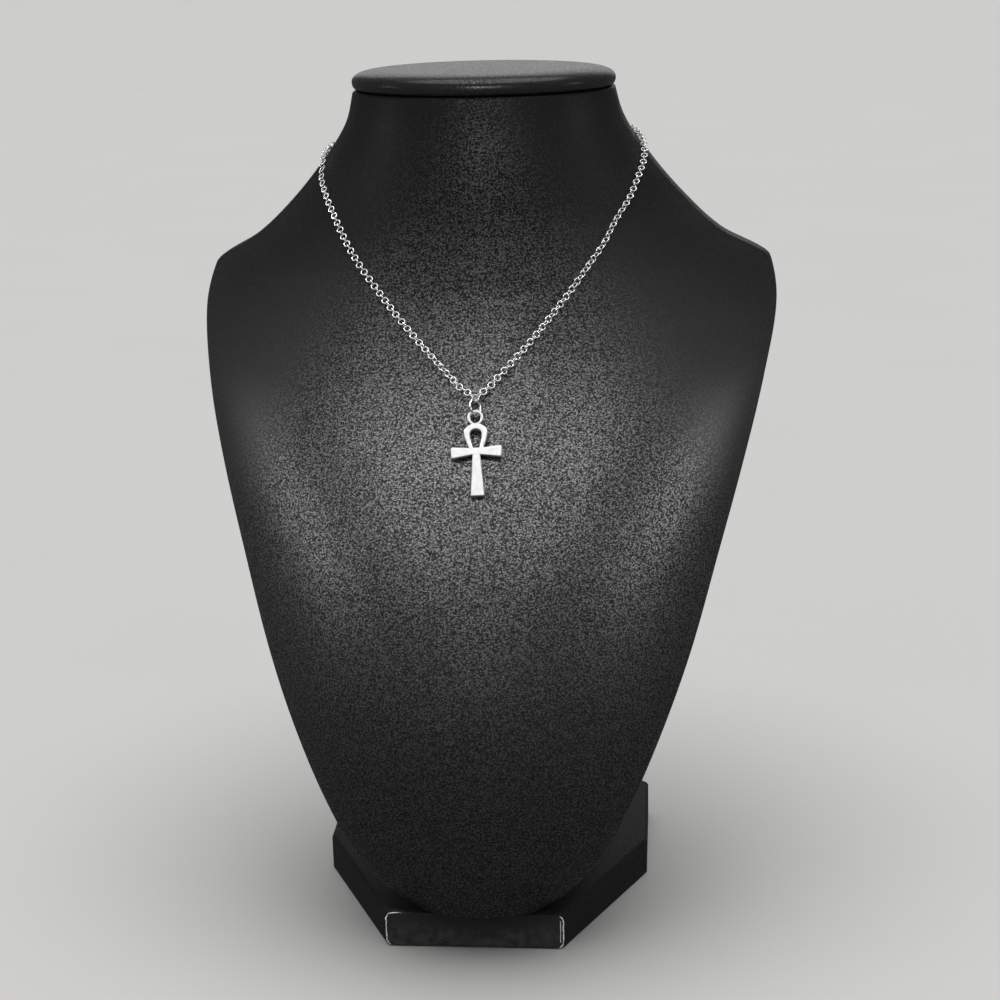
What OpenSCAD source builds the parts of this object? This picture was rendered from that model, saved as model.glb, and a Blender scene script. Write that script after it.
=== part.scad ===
// Ankh pendant necklace on a leather-covered neck bust, in millimetres.
// X runs across the shoulders, -Y faces the viewer, +Z is up. The origin lies on
// the surface that the plinth stands on, under the middle of the whole thing.

/* [Neck bust] */
// Width of the torso across its shoulders
shoulder_w = 210; // [180:1:240]
// Height of the neck's top above the surface
neck_h = 290; // [260:1:320]
// Width of the neck at its top
neck_w = 93; // [84:1:104]
// Depth of the neck at its top
neck_d = 68; // [58:1:78]
// How far the chest stands in front of the neck's middle
chest_reach = 122; // [112:1:134]
// How far the back stands behind the neck's middle
back_reach = 42; // [38:1:50]
// Straight wall between the front and back curves at the rim
rim_wall = 4; // [2:0.5:8]
// Height of the padded cap on the neck
cap_h = 7; // [6:0.1:12]
// Height of the cap's widest place
cap_rim_h = 2.4; // [2:0.1:4]
// How far the cap stands out past the neck
cap_lip = 0.7; // [0.5:0.1:3]
// Seam between the cap and the neck
cap_seam = 0.4; // [0.2:0.1:0.8]

/* [Plinth] */
// Width of the plinth across its side walls
plinth_w = 120; // [105:1:140]
// Width of the plinth's narrow front wall
plinth_front_w = 64; // [50:1:80]
// Depth of the plinth from front wall to back wall
plinth_d = 122; // [110:1:140]
// Depth of the slanted corner walls behind the front wall
plinth_corner_d = 59; // [40:1:70]
// Height of the plinth
plinth_h = 14; // [10:0.5:20]
// How far the torso's tip stands out past the front wall
tip_overhang = 6; // [4:0.5:9]
// How far the plinth stands to the left of the torso's middle
plinth_shift = 2; // [0:0.5:5]
// Rounding of the covered edges
edge_r = 1.6; // [0.8:0.1:2.5]
// Thickness of the leather facing on the front wall
facing_t = 0.9; // [0.6:0.1:1.5]

/* [Necklace] */
// Thickness of the chain, taken as a round cord
chain_d = 1.8; // [1.2:0.1:2.2]
// Length of the barrel clasp behind the neck
clasp_l = 9; // [7:0.5:12]
// Width of the barrel clasp
clasp_d = 3.2; // [3:0.1:4]
// Outside width of the jump ring
ring_od = 6; // [5.6:0.1:6.6]
// Wire of the jump ring
ring_wire = 0.7; // [0.6:0.05:0.8]
// How far the jump ring is turned away from facing the viewer
ring_turn = 54; // [48:1:65]

/* [Ankh] */
// Length of the ankh from the top of its eyelet to its foot
ankh_l = 29.5; // [28:0.1:34]
// Length of the cross bar
bar_l = 16.9; // [15:0.1:20]
// Height of the cross bar at its ends
bar_end_h = 4; // [3.6:0.1:5]
// Height of the cross bar at its middle
bar_mid_h = 2.5; // [2:0.1:3]
// How far the bar's upper edge rises towards its ends
bar_rise = 0.45; // [0:0.05:0.8]
// Rounding of the bar's corners
bar_corner_r = 0.7; // [0.4:0.1:1]
// Width of the stem below the cross bar
stem_top_w = 2.7; // [2.2:0.1:3.2]
// Width of the stem's foot
stem_foot_w = 4.6; // [4:0.1:5.4]
// Rounding of the foot's corners
foot_corner_r = 0.5; // [0.3:0.1:0.8]
// Height of the loop from its top to the middle of the bar
loop_h = 9.5; // [8.5:0.1:11]
// Width of the loop
loop_w = 7.8; // [7:0.1:8.6]
// Width of the loop where it meets the bar
loop_foot_w = 5; // [4.4:0.1:5.6]
// Height of the loop's round crown above its widest place
loop_crown = 2.8; // [2.2:0.1:3.4]
// Width of the metal over the top of the hole
loop_band = 2; // [1.6:0.1:2.4]
// Width of the loop's hole
loop_hole_w = 3.9; // [3.4:0.1:4.3]
// Width of the hole where it meets the bar
hole_foot_w = 2.1; // [1.6:0.1:2.6]
// Height of the hole's round crown
hole_crown = 1.9; // [1.4:0.1:2.4]
// Thickness of the ankh
ankh_t = 1.7; // [1.4:0.1:2.2]
// Bevel round the ankh's front face
bevel = 0.45; // [0.3:0.05:0.6]
// Bevel round the ankh's back face
back_bevel = 0.2; // [0.1:0.05:0.3]
// Outside width of the eyelet
eyelet_od = 5.4; // [5.2:0.1:5.8]
// Wire of the eyelet
eyelet_wire = 1; // [0.8:0.05:1.1]
// How deep the eyelet is sunk into the loop's top
eyelet_sink = 0.7; // [0.5:0.05:0.9]
// Lean of the hanging ankh to the side
ankh_lean = 3; // [0:0.5:5]

/* [Hidden] */

// Gaps between pieces
seat_gap = 0.2;   // torso on plinth, facing on plinth
rest_gap = 0.35;  // what lies on the leather
ring_play = 0.12; // between links of metal

$fn = 48;

shoulder_half = shoulder_w / 2;
neck_half = neck_w / 2;
neck_half_d = neck_d / 2;
torso_z = plinth_h + seat_gap;
torso_h = neck_h - torso_z;
// The whole depth, from chest to back, lies evenly about the origin
neck_y = (chest_reach - back_reach) / 2;

// Torso sections from the tip up: height, then shares of the neck's own size, of the
// shoulder width, of the chest's reach, of the reach that the front curve falls back to
// and of the back's reach, the bend of the front curve, where 0.5 is an ellipse and 1 a
// parabola, and how far past the rim that curve would run, as a share of the shoulders
HEIGHT = 0;
NECK = 1;
SHOULDER = 2;
CHEST = 3;
FALL = 4;
BACK = 5;
BEND = 6;
PAST = 7;
SECTIONS = [
    [0,     0,     0.18,  0.844, 0.803,  0.43,  0.75, 0],
    [0.03,  0,     0.295, 0.877, 0.803,  0.45,  0.75, 0],
    [0.076, 0,     0.405, 0.926, 0.795,  0.50,  0.75, 0],
    [0.15,  0,     0.51,  0.975, 0.77,   0.55,  0.75, 0],
    [0.24,  0,     0.614, 1,     0.71,   0.62,  0.75, 0],
    [0.33,  0,     0.705, 0.984, 0.62,   0.69,  0.75, 0],
    [0.44,  0,     0.793, 0.91,  0.51,   0.79,  0.75, 0],
    [0.55,  0,     0.881, 0.779, 0.375,  0.88,  0.75, 0.002],
    [0.64,  0,     0.95,  0.648, 0.189,  0.95,  0.72, 0.017],
    [0.717, 0,     1,     0.525, -0.069, 1,     0.68, 0.038],
    [0.768, 0.02,  0.975, 0.445, -0.186, 0.985, 0.64, 0.031],
    [0.783, 0.1,   0.895, 0.406, -0.205, 0.92,  0.63, 0.051],
    [0.812, 0.36,  0.652, 0.3,   -0.217, 0.71,  0.6,  0.089],
    [0.855, 0.585, 0.427, 0.189, -0.164, 0.5,   0.56, 0.048],
    [0.906, 0.77,  0.229, 0.097, -0.074, 0.305, 0.52, 0.01],
    [0.957, 0.92,  0.07,  0.03,  -0.02,  0.11,  0.5,  0],
    [1,     1,     0,     0,     0,      0,     0.5,  0]
];
section_steps = 3;
front_steps = 28;
back_steps = 20;
tip_edge = 1;

// The chain's way from the clasp round the left of the neck, down to the pendant and back
// up round the right: turn about the neck from the middle of the front, share of the
// torso's height, and lift, where 0 lies on the leather and 1 hangs clear with the ring
CLASP_AT = [180, 0.9365];
WAY_LEFT = [
    [-164, 0.9362, 0.2], [-146, 0.9345, 0], [-128, 0.931, 0], [-110, 0.925, 0], [-93, 0.9175, 0],
    [-76, 0.9095, 0], [-64, 0.8895, 0], [-53, 0.87, 0], [-42.3, 0.8456, 0], [-33.3, 0.8194, 0],
    [-25, 0.7935, 0], [-18.7, 0.7675, 0], [-14.5, 0.7416, 0], [-10.4, 0.7159, 0],
    [-6.3, 0.6905, 0.16], [-2.4, 0.6665, 0.7], [-0.1, 0.6497, 1]
];
PENDANT_AT = [1.02, 0.6472, 1];
WAY_RIGHT = [
    [2.15, 0.6497, 1], [3.9, 0.667, 0.7], [7.2, 0.69, 0.16],
    [10.9, 0.7151, 0], [14.4, 0.7405, 0], [18.1, 0.766, 0],
    [23.5, 0.7918, 0], [31.2, 0.8172, 0], [38.9, 0.8432, 0], [48, 0.8655, 0], [57.2, 0.886, 0],
    [69.3, 0.9054, 0], [84, 0.9225, 0], [98, 0.9335, 0], [112, 0.9385, 0], [130, 0.9395, 0],
    [148, 0.939, 0], [164, 0.9375, 0.2]
];
spline_steps = 2;
chain_sides = 8;
socket_depth = 0.6;

// Hermite blend of one column of the sections at a height share
function row_below(h) = max([for (i = [0 : len(SECTIONS) - 2]) if (SECTIONS[i][HEIGHT] <= max(h, 0)) i]);
function rate(i, column) =
    let (a = SECTIONS[max(i - 1, 0)], b = SECTIONS[min(i + 1, len(SECTIONS) - 1)])
    (b[column] - a[column]) / (b[HEIGHT] - a[HEIGHT]);
function share(h, column) =
    let (
        i = row_below(h),
        a = SECTIONS[i],
        b = SECTIONS[i + 1],
        span = b[HEIGHT] - a[HEIGHT],
        s = min(max((h - a[HEIGHT]) / span, 0), 1)
    )
    (2 * s ^ 3 - 3 * s ^ 2 + 1) * a[column] + (s ^ 3 - 2 * s ^ 2 + s) * span * rate(i, column)
    + (3 * s ^ 2 - 2 * s ^ 3) * b[column] + (s ^ 3 - s ^ 2) * span * rate(i + 1, column);

// Sizes of the torso's section at a height above the surface
function height_share(z) = (z - torso_z) / torso_h;
function height_at(h) = torso_z + torso_h * h;
function half_width(z) =
    let (h = height_share(z))
    neck_half * share(h, NECK) + shoulder_half * share(h, SHOULDER);
function front_reach(z) =
    let (h = height_share(z))
    neck_half_d * share(h, NECK) + chest_reach * share(h, CHEST);
function back_out(z) =
    let (h = height_share(z))
    neck_half_d * share(h, NECK) + back_reach * share(h, BACK);
function front_curve(x, z) =
    let (
        h = height_share(z),
        fall = chest_reach * share(h, FALL),
        u = x / (half_width(z) + shoulder_half * share(h, PAST))
    )
    fall + (front_reach(z) - fall) * pow(max(1 - u ^ 2, 0), share(h, BEND));

// A point of the torso's skin. Turn 0 is the middle of the front, 90 the right rim and
// 180 the middle of the back. At a rim itself, behind picks the back curve's end.
function skin(turn, z, behind = false) =
    let (
        x = half_width(z) * sin(turn),
        rim = rim_wall - front_curve(half_width(z), z),
        back = rim + (back_out(z) - rim) * abs(cos(turn))
    )
    [x, behind || cos(turn) < 0 ? neck_y + back : neck_y - front_curve(x, z), z];
function unit(v) = v / norm(v);
turn_step = 2;
z_step = 1;
function skin_normal(turn, z) =
    let (
        across = skin(turn + turn_step, z) - skin(turn - turn_step, z),
        up = skin(turn, z + z_step) - skin(turn, z - z_step)
    )
    unit(cross(across, up));
function turn_at(x, z) = asin(max(min(x / half_width(z), 1), -1));
function seat(turn, z, off) = skin(turn, z) + off * skin_normal(turn, z);

// A closed skin over rings that all have as many points: a stack with flat ends, or a
// loop whose last ring joins its first
module skinned(rings, looped = false) {
    sides = len(rings[0]);
    count = len(rings);
    last = (count - 1) * sides;
    walls = [
        for (r = [0 : count - (looped ? 1 : 2)], i = [0 : sides - 1])
            let (
                next = (r + 1) % count * sides,
                a = r * sides + i,
                b = r * sides + (i + 1) % sides,
                c = next + i,
                d = next + (i + 1) % sides
            )
            for (face = [[a, c, b], [b, c, d]]) face
    ];
    first_end = [for (i = [0 : sides - 1]) i];
    last_end = [for (i = [sides - 1 : -1 : 0]) last + i];
    ends = looped ? [] : [first_end, last_end];
    polyhedron([for (ring = rings, p = ring) p], concat(walls, ends));
}

// One ring of the torso, drawn in by an inset towards its middle
function torso_ring(z, inset, level) =
    let (
        keep = 1 - inset / half_width(z),
        mid = neck_y - (front_reach(z) - back_out(z)) / 2,
        ring = concat(
            [for (i = [0 : front_steps]) skin(-90 + 180 * i / front_steps, z)],
            [for (i = [0 : back_steps]) skin(90 + 180 * i / back_steps, z, true)]
        )
    )
    [for (p = ring) [p[0] * keep, mid + (p[1] - mid) * keep, level]];

module torso() {
    top_edge = neck_h - edge_r;
    levels = concat(
        [torso_z + tip_edge],
        [
            for (i = [0 : len(SECTIONS) - 2], k = [0 : section_steps - 1])
                let (from = SECTIONS[i][HEIGHT], to = SECTIONS[i + 1][HEIGHT])
                if (i + k > 0) height_at(from + (to - from) * k / section_steps)
        ],
        [top_edge]
    );
    rounding = [
        for (a = [30 : 30 : 90])
            torso_ring(top_edge, edge_r * (1 - cos(a)), top_edge + edge_r * sin(a))
    ];
    tip = torso_ring(torso_z + tip_edge, tip_edge, torso_z);
    color("#26262a") skinned(concat([tip], [for (z = levels) torso_ring(z, 0, z)], rounding));
}

// Padded cap: an ellipse that is rounded in below its widest place and domed above it
cap_tuck = 1.5;
cap_sides = 56;
function cap_ring(inset, scale, z) =
    let (a = neck_half + cap_lip - inset, b = neck_half_d + cap_lip - inset)
    [
        for (i = [0 : cap_sides - 1])
            let (turn = 360 * i / cap_sides)
            [scale * a * cos(turn), neck_y + scale * b * sin(turn), z]
    ];

module neck_cap() {
    widest = neck_h + cap_seam + cap_rim_h;
    underside = [
        for (a = [-90 : 30 : -30])
            cap_ring(cap_tuck * (1 - cos(a)), 1, widest + cap_rim_h * sin(a))
    ];
    dome = [
        for (a = [0 : 10 : 80])
            cap_ring(0, pow(cos(a), 2 / 3), widest + (cap_h - cap_rim_h) * sin(a))
    ];
    color("#34343a") skinned(concat(underside, dome));
}

// Plinth: narrow front wall, slanted corners, straight sides
plinth_front_y = neck_y - chest_reach * SECTIONS[0][CHEST] + tip_overhang;
plinth_back_chamfer = 14;
plinth_corners = [
    [plinth_front_w / 2, 0],
    [plinth_w / 2, plinth_corner_d],
    [plinth_w / 2, plinth_d - plinth_back_chamfer],
    [plinth_w / 2 - plinth_back_chamfer, plinth_d]
];

module plinth() {
    color("#2b2b2e")
        translate([-plinth_shift, plinth_front_y, 0])
            hull()
                for (side = [-1, 1], corner = plinth_corners)
                    let (inward = corner[1] > 0 ? -edge_r : edge_r)
                    translate([side * (corner[0] - edge_r), corner[1] + inward, 0]) {
                        cylinder(r = edge_r, h = plinth_h - edge_r, $fn = 24);
                        translate([0, 0, plinth_h - edge_r])
                            sphere(r = edge_r, $fn = 24);
                    }
}

// Leather facing stuck on the plinth's front wall
facing_corner_r = 2.6;
facing_margin = 0.5;

module plinth_facing() {
    half_l = plinth_front_w / 2 - facing_margin;
    top = plinth_h - facing_margin;
    color("#303034")
        translate([-plinth_shift, plinth_front_y - seat_gap, facing_margin])
            rotate([90, 0, 0])
                linear_extrude(facing_t)
                    hull()
                        for (side = [-1, 1], z = [facing_corner_r, top - facing_margin - facing_corner_r])
                            translate([side * (half_l - facing_corner_r), z])
                                circle(r = facing_corner_r);
}

// Barrel clasp at the nape, with a socket for each end of the chain
clasp_mid = seat(CLASP_AT[0], height_at(CLASP_AT[1]), clasp_d / 2 + rest_gap);

module clasp() {
    color("#d8d8dc")
        translate(clasp_mid)
            rotate([0, 90, 0])
                difference() {
                    cylinder(d = clasp_d, h = clasp_l, center = true);
                    for (side = [0, 180])
                        rotate([side, 0, 0])
                            translate([0, 0, clasp_l / 2 - socket_depth - seat_gap])
                                cylinder(d = chain_d + 2 * seat_gap, h = clasp_l);
                }
}

// Chain: the round cord that its links fill, swept along a smooth curve through its way
ring_mean_r = (ring_od - ring_wire) / 2;
lift = ring_mean_r * sin(ring_turn) + ring_wire / 2 - chain_d / 2;
function way_point(p) = seat(p[0], height_at(p[1]), chain_d / 2 + rest_gap + p[2] * lift);
chain_end = [clasp_l / 2 - socket_depth, 0, 0];
way = concat(
    [clasp_mid - chain_end],
    [for (p = WAY_LEFT) way_point(p)],
    [way_point(PENDANT_AT)],
    [for (p = WAY_RIGHT) way_point(p)],
    [clasp_mid + chain_end]
);
last_way = len(way) - 1;
// Direction at a way point, nearer to that of the shorter of the two stretches beside it
function heading(i) =
    let (before = way[i] - way[max(i - 1, 0)], after = way[min(i + 1, last_way)] - way[i])
    i == 0 || i == last_way ? [-1, 0, 0]
    : unit(unit(before) * norm(after) + unit(after) * norm(before));
function spline_point(i, s) =
    let (span = norm(way[i + 1] - way[i]))
    (2 * s ^ 3 - 3 * s ^ 2 + 1) * way[i] + (s ^ 3 - 2 * s ^ 2 + s) * span * heading(i)
    + (3 * s ^ 2 - 2 * s ^ 3) * way[i + 1] + (s ^ 3 - s ^ 2) * span * heading(i + 1);
chain_line = concat(
    [for (i = [0 : last_way - 1], k = [0 : spline_steps - 1]) spline_point(i, k / spline_steps)],
    [way[last_way]]
);
function chain_ring(i) =
    let (
        last = len(chain_line) - 1,
        along = i == 0 || i == last ? [-1, 0, 0] : unit(chain_line[i + 1] - chain_line[i - 1]),
        from_neck = unit(chain_line[i] - [0, neck_y, chain_line[i][2]]),
        outward = unit(cross(cross(along, from_neck), along)),
        across = cross(along, outward)
    )
    [
        for (k = [0 : chain_sides - 1])
            let (turn = 360 * k / chain_sides)
            chain_line[i] + chain_d / 2 * (cos(turn) * outward + sin(turn) * across)
    ];

module chain() {
    color("#c9c9ce") skinned([for (i = [0 : len(chain_line) - 1]) chain_ring(i)]);
}

// Jump ring and ankh stand in the chest's slope under the chain's lowest point
eyelet_mean_r = (eyelet_od - eyelet_wire) / 2;
low_point = way_point(PENDANT_AT);
slope_span = 5;
chest_up = let (
        z = height_at(PENDANT_AT[1]),
        up = skin(PENDANT_AT[0], z + slope_span) - skin(PENDANT_AT[0], z - slope_span)
    )
    unit([0, up[1], up[2]]);
chest_slope = atan2(chest_up[2], chest_up[1]);
ring_mid = low_point + (chain_d / 2 + seat_gap + ring_wire / 2 - ring_mean_r) * chest_up;
eyelet_top = ring_mid - (ring_mean_r - ring_wire / 2 - eyelet_wire / 2 - ring_play) * chest_up;

module jump_ring() {
    color("#d8d8dc")
        translate(ring_mid)
            rotate([chest_slope, 0, 0])
                rotate([0, -ring_turn, 0])
                    rotate_extrude()
                        translate([ring_mean_r, 0])
                            circle(d = ring_wire);
}

// The ankh's foot rests on the leather and sets how the ankh is pitched
foot_drop = ankh_l - eyelet_wire / 2;
foot_z = eyelet_top[2] - foot_drop * sin(chest_slope);
foot_x = eyelet_top[0] + foot_drop * sin(ankh_lean);
foot_at = seat(turn_at(foot_x, foot_z), foot_z, ankh_t / 2 + rest_gap);
ankh_pitch = atan2(eyelet_top[2] - foot_at[2], eyelet_top[1] - foot_at[1]);

// Heights on the ankh, counted down from the middle of the eyelet's top
loop_top = -(eyelet_od - eyelet_wire / 2 - eyelet_sink);
bar_y = loop_top - loop_h;
bar_top = bar_y + bar_mid_h / 2;
foot_y = -foot_drop;
stem_top = bar_y - bar_mid_h / 2;
end_top = bar_top + bar_rise;

function arc(mid, r, from, to, steps) = [
    for (i = [0 : steps])
        let (a = from + (to - from) * i / steps) mid + r * [cos(a), sin(a)]
];
// Right side of a teardrop: a round crown above the widest place, then a taper to its foot
function teardrop(half_w, foot_half, top, widest, low) = concat(
    [for (a = [0 : 15 : 75]) [half_w * sin(a), widest + (top - widest) * cos(a)]],
    [
        for (s = [0 : 0.125 : 1])
            [foot_half + (half_w - foot_half) * cos(90 * s), widest + (low - widest) * s]
    ]
);
// Both sides of a shape whose right side runs down from the middle line, anticlockwise
function mirrored(side) = concat(
    [for (p = side) if (p[0] > 0) [-p[0], p[1]]],
    [for (i = [len(side) - 1 : -1 : 0]) side[i]]
);
// An anticlockwise outline drawn in by an inset along its corners' normals
function drawn_in(points, inset) = [
    for (i = [0 : len(points) - 1])
        let (
            n = len(points),
            before = unit(points[i] - points[(i + n - 1) % n]),
            after = unit(points[(i + 1) % n] - points[i]),
            normal = unit([-before[1] - after[1], before[0] + after[0]])
        )
        points[i] + normal * inset / max(0.6, normal * [-after[1], after[0]])
];
function at_level(points, z) = [for (p = points) [p[0], p[1], z]];

ankh_outline = mirrored(concat(
    teardrop(loop_w / 2, loop_foot_w / 2, loop_top, loop_top - loop_crown, bar_top),
    arc([bar_l / 2 - bar_corner_r, end_top - bar_corner_r], bar_corner_r, 90, 0, 3),
    arc([bar_l / 2 - bar_corner_r, end_top - bar_end_h + bar_corner_r], bar_corner_r, 0, -90, 3),
    [[stem_top_w / 2, stem_top]],
    arc([stem_foot_w / 2 - foot_corner_r, foot_y + foot_corner_r], foot_corner_r, 0, -90, 3),
    [[0, foot_y]]
));
hole_top = loop_top - loop_band;
hole_outline = mirrored(concat(
    teardrop(loop_hole_w / 2, hole_foot_w / 2, hole_top, hole_top - hole_crown, bar_top),
    [[0, bar_top]]
));

// Levels through the plate's thickness, each with how far its edges are drawn in
half_t = ankh_t / 2;
bevel_step = 0.35 * bevel;
EDGES = [
    [-half_t, back_bevel], [back_bevel - half_t, 0], [half_t - bevel, 0],
    [half_t - bevel_step, bevel_step], [half_t, bevel]
];

function turned_round(face) = [for (i = [len(face) - 1 : -1 : 0]) face[i]];

// The plate and its hole, level by level. Both outlines run down the left side and up the
// right one to their top points, and each end of the plate is two faces, left and right.
module ankh_plate() {
    outer = len(ankh_outline);
    inner = len(hole_outline);
    function outer_at(level, i) = level * (outer + inner) + i % outer;
    function inner_at(level, i) = level * (outer + inner) + outer + i % inner;
    function left_half(level) = concat(
        [outer_at(level, outer - 1)],
        [for (i = [0 : outer / 2 - 1]) outer_at(level, i)],
        [for (i = [inner / 2 - 1 : -1 : 0]) inner_at(level, i)],
        [inner_at(level, inner - 1)]
    );
    function right_half(level) = concat(
        [for (i = [outer / 2 - 1 : outer - 1]) outer_at(level, i)],
        [for (i = [inner - 1 : -1 : inner / 2 - 1]) inner_at(level, i)]
    );
    points = [
        for (edge = EDGES)
            each at_level(
                concat(drawn_in(ankh_outline, edge[1]), drawn_in(hole_outline, -edge[1])),
                edge[0]
            )
    ];
    last = len(EDGES) - 1;
    outer_walls = [
        for (level = [0 : last - 1], i = [0 : outer - 1])
            each [
                [outer_at(level, i), outer_at(level + 1, i), outer_at(level, i + 1)],
                [outer_at(level, i + 1), outer_at(level + 1, i), outer_at(level + 1, i + 1)]
            ]
    ];
    inner_walls = [
        for (level = [0 : last - 1], i = [0 : inner - 1])
            each [
                [inner_at(level, i), inner_at(level, i + 1), inner_at(level + 1, i)],
                [inner_at(level, i + 1), inner_at(level + 1, i + 1), inner_at(level + 1, i)]
            ]
    ];
    ends = [left_half(0), right_half(0), turned_round(left_half(last)), turned_round(right_half(last))];
    polyhedron(points, concat(outer_walls, inner_walls, ends));
}

eyelet_rings = 36;
eyelet_sides = 14;
function eyelet_ring(around) = [
    for (i = [0 : eyelet_sides - 1])
        let (
            a = 360 * (i + 0.5) / eyelet_sides,
            r = eyelet_mean_r + eyelet_wire / 2 * cos(a)
        )
        [r * cos(around), r * sin(around), -eyelet_wire / 2 * sin(a)]
];
eyelet_hoop = [for (i = [0 : eyelet_rings - 1]) eyelet_ring(360 * (i + 0.5) / eyelet_rings)];

module ankh() {
    color("#dcdce0")
        translate(eyelet_top)
            rotate([ankh_pitch, 0, 0])
                rotate([0, 0, ankh_lean]) {
                    ankh_plate();
                    translate([0, -eyelet_mean_r, 0]) skinned(eyelet_hoop, true);
                }
}

torso();
neck_cap();
plinth();
plinth_facing();
chain();
clasp();
jump_ring();
ankh();
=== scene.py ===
"""An ankh pendant on a fine cable chain, worn by a padded leatherette neck bust."""

import math
import random

import bpy
import numpy as np
from mathutils import Matrix, Vector


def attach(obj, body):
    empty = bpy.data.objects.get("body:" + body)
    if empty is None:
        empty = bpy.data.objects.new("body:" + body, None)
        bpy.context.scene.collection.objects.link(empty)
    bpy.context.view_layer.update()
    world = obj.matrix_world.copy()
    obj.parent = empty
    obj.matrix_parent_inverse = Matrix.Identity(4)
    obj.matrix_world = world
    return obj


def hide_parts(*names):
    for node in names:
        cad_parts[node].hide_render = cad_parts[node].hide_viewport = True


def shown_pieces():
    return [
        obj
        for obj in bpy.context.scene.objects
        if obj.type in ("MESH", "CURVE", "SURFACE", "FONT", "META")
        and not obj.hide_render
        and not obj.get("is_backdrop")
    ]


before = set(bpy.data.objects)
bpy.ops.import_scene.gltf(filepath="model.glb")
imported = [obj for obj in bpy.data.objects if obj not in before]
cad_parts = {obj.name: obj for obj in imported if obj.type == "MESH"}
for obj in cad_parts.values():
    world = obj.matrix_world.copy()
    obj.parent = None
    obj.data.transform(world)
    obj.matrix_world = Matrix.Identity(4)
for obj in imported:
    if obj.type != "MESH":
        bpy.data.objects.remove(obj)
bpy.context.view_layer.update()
MM = 0.001

# Sizes in millimetres, the same as those of the solids
SHOULDER_HALF = 105
NECK_H = 290
NECK_HALF = 46.5
NECK_HALF_D = 34
CHEST_REACH = 122
BACK_REACH = 42
RIM_WALL = 4
NECK_Y = (CHEST_REACH - BACK_REACH) / 2
TORSO_Z = 14.2
TORSO_H = NECK_H - TORSO_Z
EDGE_R = 1.6
CAP_H = 7
CAP_RIM_H = 2.4
CAP_LIP = 0.7
CAP_SEAM = 0.4
CAP_TUCK = 1.5
PLINTH_H = 14
PLINTH_SHIFT = -2
PLINTH_FRONT_Y = -56.968
PLINTH_CORNERS = [(32, 0), (60, 59), (60, 108), (46, 122)]
FACING_T = 0.9
FACING_MARGIN = 0.5
FACING_CORNER_R = 2.6
SEAT_GAP = 0.2
REST_GAP = 0.35
CHAIN_D = 1.8
CLASP_L = 9
CLASP_D = 3.2
SOCKET_DEPTH = 0.6
RING_OD = 6
RING_WIRE = 0.7
RING_TURN = 54
RING_PLAY = 0.12
EYELET_OD = 5.4
EYELET_WIRE = 1
EYELET_SINK = 0.7
ANKH_L = 29.5
ANKH_T = 1.7
ANKH_LEAN = 3
ANKH_PITCH = 60.6619

# Torso sections from the tip up: height, then shares of the neck's size, of the shoulder
# width, of the chest's reach, of the reach that the front falls back to and of the back's
# reach, the bend of the front curve, and how far past the rim that curve would run
HEIGHT, NECK, SHOULDER, CHEST, FALL, BACK, BEND, PAST = range(8)
SECTIONS = np.array(
    [
        (0, 0, 0.18, 0.844, 0.803, 0.43, 0.75, 0),
        (0.03, 0, 0.295, 0.877, 0.803, 0.45, 0.75, 0),
        (0.076, 0, 0.405, 0.926, 0.795, 0.5, 0.75, 0),
        (0.15, 0, 0.51, 0.975, 0.77, 0.55, 0.75, 0),
        (0.24, 0, 0.614, 1, 0.71, 0.62, 0.75, 0),
        (0.33, 0, 0.705, 0.984, 0.62, 0.69, 0.75, 0),
        (0.44, 0, 0.793, 0.91, 0.51, 0.79, 0.75, 0),
        (0.55, 0, 0.881, 0.779, 0.375, 0.88, 0.75, 0.002),
        (0.64, 0, 0.95, 0.648, 0.189, 0.95, 0.72, 0.017),
        (0.717, 0, 1, 0.525, -0.069, 1, 0.68, 0.038),
        (0.768, 0.02, 0.975, 0.445, -0.186, 0.985, 0.64, 0.031),
        (0.783, 0.1, 0.895, 0.406, -0.205, 0.92, 0.63, 0.051),
        (0.812, 0.36, 0.652, 0.3, -0.217, 0.71, 0.6, 0.089),
        (0.855, 0.585, 0.427, 0.189, -0.164, 0.5, 0.56, 0.048),
        (0.906, 0.77, 0.229, 0.097, -0.074, 0.305, 0.52, 0.01),
        (0.957, 0.92, 0.07, 0.03, -0.02, 0.11, 0.5, 0),
        (1, 1, 0, 0, 0, 0, 0.5, 0),
    ]
)

# The chain's way: turn about the neck from the middle of the front, share of the torso's
# height, and lift, where 0 lies on the leather and 1 hangs clear with the ring
CLASP_AT = (180, 0.9365)
PENDANT_AT = (1.02, 0.6472, 1)
WAY_LEFT = [
    (-164, 0.9362, 0.2), (-146, 0.9345, 0), (-128, 0.931, 0), (-110, 0.925, 0),
    (-93, 0.9175, 0), (-76, 0.9095, 0), (-64, 0.8895, 0), (-53, 0.87, 0),
    (-42.3, 0.8456, 0), (-33.3, 0.8194, 0), (-25, 0.7935, 0), (-18.7, 0.7675, 0),
    (-14.5, 0.7416, 0), (-10.4, 0.7159, 0), (-6.3, 0.6905, 0.16), (-2.4, 0.6665, 0.7),
    (-0.1, 0.6497, 1),
]
WAY_RIGHT = [
    (2.15, 0.6497, 1), (3.9, 0.667, 0.7), (7.2, 0.69, 0.16), (10.9, 0.7151, 0),
    (14.4, 0.7405, 0), (18.1, 0.766, 0), (23.5, 0.7918, 0), (31.2, 0.8172, 0),
    (38.9, 0.8432, 0), (48, 0.8655, 0), (57.2, 0.886, 0), (69.3, 0.9054, 0),
    (84, 0.9225, 0), (98, 0.9335, 0), (112, 0.9385, 0), (130, 0.9395, 0),
    (148, 0.939, 0), (164, 0.9375, 0.2),
]


# Shared shape tools


def unit(v):
    return np.asarray(v, float) / np.linalg.norm(v)


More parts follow.
